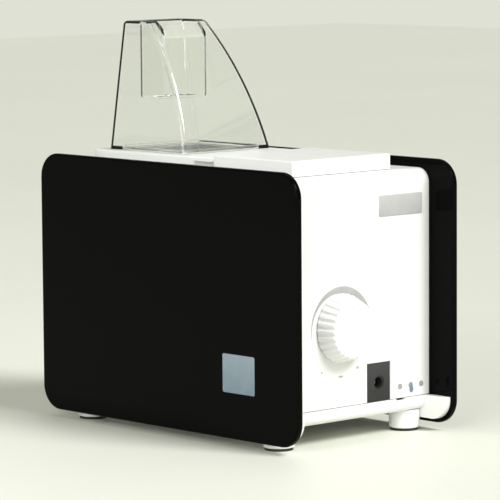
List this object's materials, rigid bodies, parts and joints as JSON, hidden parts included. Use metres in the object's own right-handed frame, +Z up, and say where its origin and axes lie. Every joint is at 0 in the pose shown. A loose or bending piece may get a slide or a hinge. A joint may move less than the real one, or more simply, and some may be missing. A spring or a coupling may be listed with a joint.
{
  "type": "cool mist humidifier",
  "caption": "Small table humidifier: a white housing between glossy side panels, with a clear mist nozzle, a bottle well under a cover, and a mist knob.",
  "frame": {"origin": "on the table under the middle of the overall box, which is the bottom centre of the four feet", "axes": "+Z up, the front with the knob faces -Y, +X to the right as seen from the front"},
  "size_m": [0.1246, 0.217, 0.2305],
  "materials": {
    "white": "smooth white moulding",
    "white_inner": "white moulding, inside",
    "black_gloss": "deep black, polished",
    "clear": "clear moulded plastic",
    "rubber": "matt black rubber",
    "dark_plastic": "fine-grained dark grey",
    "fan_black": "satin black",
    "steel": "zinc-plated",
    "brass": "plain",
    "ceramic_disc": "silvered disc with a brass rim",
    "aluminium": "extruded fins",
    "board": "green lacquer",
    "capacitor_sleeve": "shrink sleeve",
    "copper": "lacquered copper wire",
    "black_epoxy": "moulded epoxy",
    "pot_metal": "pressed can",
    "label": "plain blue-grey window",
    "badge": "plain grey plate",
    "lens": "clear light guide",
    "lamp": "blue lamp",
    "wire": "red sleeve",
    "cap_blue": "blue moulding",
    "float_white": "foamed white"
  },
  "bodies": {
    "casing": {"left_panel": "black_gloss", "right_panel": "black_gloss", "main_housing": "white", "top_deck": "white", "base_tray": "white", "left_rail": "white", "right_rail": "white", "foot_front_left": "white", "foot_front_right": "white", "foot_rear_left": "white", "foot_rear_right": "white", "pad_front_left": "rubber", "pad_front_right": "rubber", "pad_rear_left": "rubber", "pad_rear_right": "rubber", "intake_grille": "white_inner", "bottle_well": "white_inner", "valve_pin": "steel", "feed_pipe": "white_inner", "water_basin": "white_inner", "transducer_disc": "ceramic_disc", "transducer_seal": "rubber", "transducer_ring": "steel", "transducer_screws": "steel", "float_post": "white_inner", "float_clip": "steel", "air_duct": "white_inner", "fan_frame": "fan_black", "fan_screws": "steel", "circuit_board": "board", "heat_sink": "aluminium", "power_transistor": "black_epoxy", "capacitors": "capacitor_sleeve", "coils": "copper", "board_screws": "steel", "potentiometer": "pot_metal", "pot_nut": "steel", "jack_plate": "dark_plastic", "dc_jack": "fan_black", "jack_pin": "brass", "lamp_lenses": "lens", "lamps": "lamp", "front_badge": "badge", "side_label": "label", "wiring": "wire", "base_screws": "steel", "panel_screws": "steel", "adapter_seal": "rubber"},
    "knob": {"mist_knob": "white", "pot_shaft": "steel"},
    "nozzle": {"mist_nozzle": "clear"},
    "cover": {"bottle_cover": "white"},
    "cap": {"bottle_adapter": "cap_blue"},
    "valve": {"valve_plunger": "float_white", "valve_seal": "rubber", "valve_spring": "steel"},
    "float": {"water_float": "float_white"},
    "fan": {"fan_rotor": "fan_black", "fan_shaft": "steel"}
  },
  "joints": [
    {"name": "knob_turn", "type": "hinge", "parent": "casing", "child": "knob", "pos_m": [-0.0109, -0.0896, 0.0645], "axis": [0, -1, 0], "range_deg": [-135, 135]},
    {"name": "nozzle_lift", "type": "slide", "parent": "casing", "child": "nozzle", "axis": [0, 0, 1], "range_m": [0, 0.08]},
    {"name": "cover_lift", "type": "slide", "parent": "casing", "child": "cover", "axis": [0, 0, 1], "range_m": [0, 0.22]},
    {"name": "cap_lift", "type": "slide", "parent": "casing", "child": "cap", "axis": [0, 0, 1], "range_m": [0, 0.045]},
    {"name": "valve_lift", "type": "slide", "parent": "cap", "child": "valve", "axis": [0, 0, 1], "range_m": [0, 0.0022], "stiffness_N_per_m": 150, "springref_m": -0.003, "deforming": ["valve_spring"]},
    {"name": "float_rise", "type": "slide", "parent": "casing", "child": "float", "axis": [0, 0, 1], "range_m": [0, 0.024]},
    {"name": "fan_spin", "type": "hinge", "parent": "casing", "child": "fan", "pos_m": [0, 0.042, 0.025], "axis": [0, 0, 1], "continuous": true}
  ]
}
